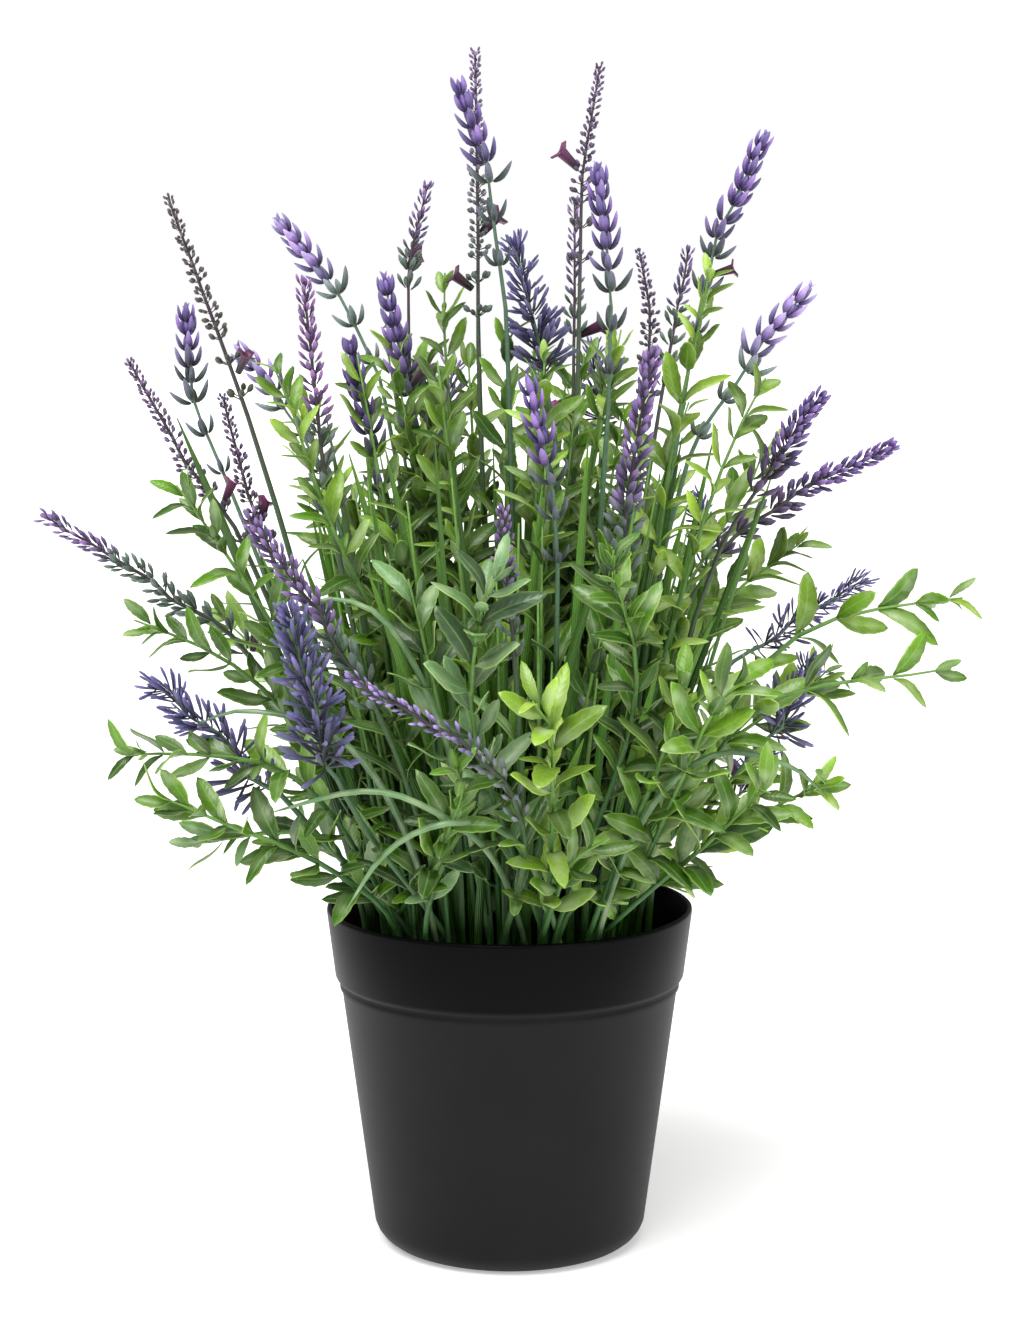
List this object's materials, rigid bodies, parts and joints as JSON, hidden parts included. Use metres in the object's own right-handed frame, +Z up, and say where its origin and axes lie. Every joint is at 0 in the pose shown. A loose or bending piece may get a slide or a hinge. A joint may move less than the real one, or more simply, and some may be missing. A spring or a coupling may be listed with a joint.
{
  "type": "potted lavender",
  "caption": "Potted lavender: purple flower spikes, leafy shoots and strap leaves standing in soil in a round tapered black pot with a banded rim.",
  "frame": {"origin": "centre of the pot's underside, on the surface that it stands on", "axes": "+Z up along the pot's axis, -Y towards the front of the plant, +X to its right"},
  "size_m": [0.3114, 0.2398, 0.389],
  "materials": {
    "pot_plastic": "satin black moulded plastic",
    "soil": "dark crumbly potting soil",
    "lavender_flower": "violet buds fading to grey-green at the foot of the spike",
    "leaf_green": "matt mid green with a paler margin",
    "strap_green": "matt fresh green"
  },
  "bodies": {
    "root": {"beaded_flower_stem_01": "lavender_flower", "beaded_flower_stem_03": "lavender_flower", "beaded_flower_stem_09": "lavender_flower", "beaded_flower_stem_12": "lavender_flower", "beaded_flower_stem_19": "lavender_flower", "beaded_flower_stem_29": "lavender_flower", "bristled_flower_stem_21": "lavender_flower", "bristled_flower_stem_22": "lavender_flower", "bristled_flower_stem_25": "lavender_flower", "bristled_flower_stem_26": "lavender_flower", "bristled_flower_stem_32": "lavender_flower", "bristled_flower_stem_33": "lavender_flower", "bristled_flower_stem_34": "lavender_flower", "bristled_flower_stem_35": "lavender_flower", "bristled_flower_stem_36": "lavender_flower", "feathered_flower_stem_08": "lavender_flower", "feathered_flower_stem_13": "lavender_flower", "feathered_flower_stem_14": "lavender_flower", "feathered_flower_stem_15": "lavender_flower", "feathered_flower_stem_20": "lavender_flower", "feathered_flower_stem_23": "lavender_flower", "feathered_flower_stem_27": "lavender_flower", "feathered_flower_stem_28": "lavender_flower", "feathered_flower_stem_30": "lavender_flower", "feathered_flower_stem_31": "lavender_flower", "leafy_shoot_01": "leaf_green", "leafy_shoot_02": "leaf_green", "leafy_shoot_03": "leaf_green", "leafy_shoot_04": "leaf_green", "leafy_shoot_05": "leaf_green", "leafy_shoot_06": "leaf_green", "leafy_shoot_07": "leaf_green", "leafy_shoot_08": "leaf_green", "leafy_shoot_09": "leaf_green", "leafy_shoot_10": "leaf_green", "leafy_shoot_11": "leaf_green", "leafy_shoot_12": "leaf_green", "leafy_shoot_13": "leaf_green", "leafy_shoot_14": "leaf_green", "leafy_shoot_15": "leaf_green", "leafy_shoot_16": "leaf_green", "pot": "pot_plastic", "potting_soil": "soil", "strap_leaf_tuft_01": "strap_green", "strap_leaf_tuft_02": "strap_green", "strap_leaf_tuft_03": "strap_green", "strap_leaf_tuft_04": "strap_green", "strap_leaf_tuft_05": "strap_green", "strap_leaf_tuft_06": "strap_green", "whorled_flower_stem_02": "lavender_flower", "whorled_flower_stem_04": "lavender_flower", "whorled_flower_stem_05": "lavender_flower", "whorled_flower_stem_06": "lavender_flower", "whorled_flower_stem_07": "lavender_flower", "whorled_flower_stem_10": "lavender_flower", "whorled_flower_stem_11": "lavender_flower", "whorled_flower_stem_16": "lavender_flower", "whorled_flower_stem_17": "lavender_flower", "whorled_flower_stem_18": "lavender_flower", "whorled_flower_stem_24": "lavender_flower"}
  },
  "joints": []
}
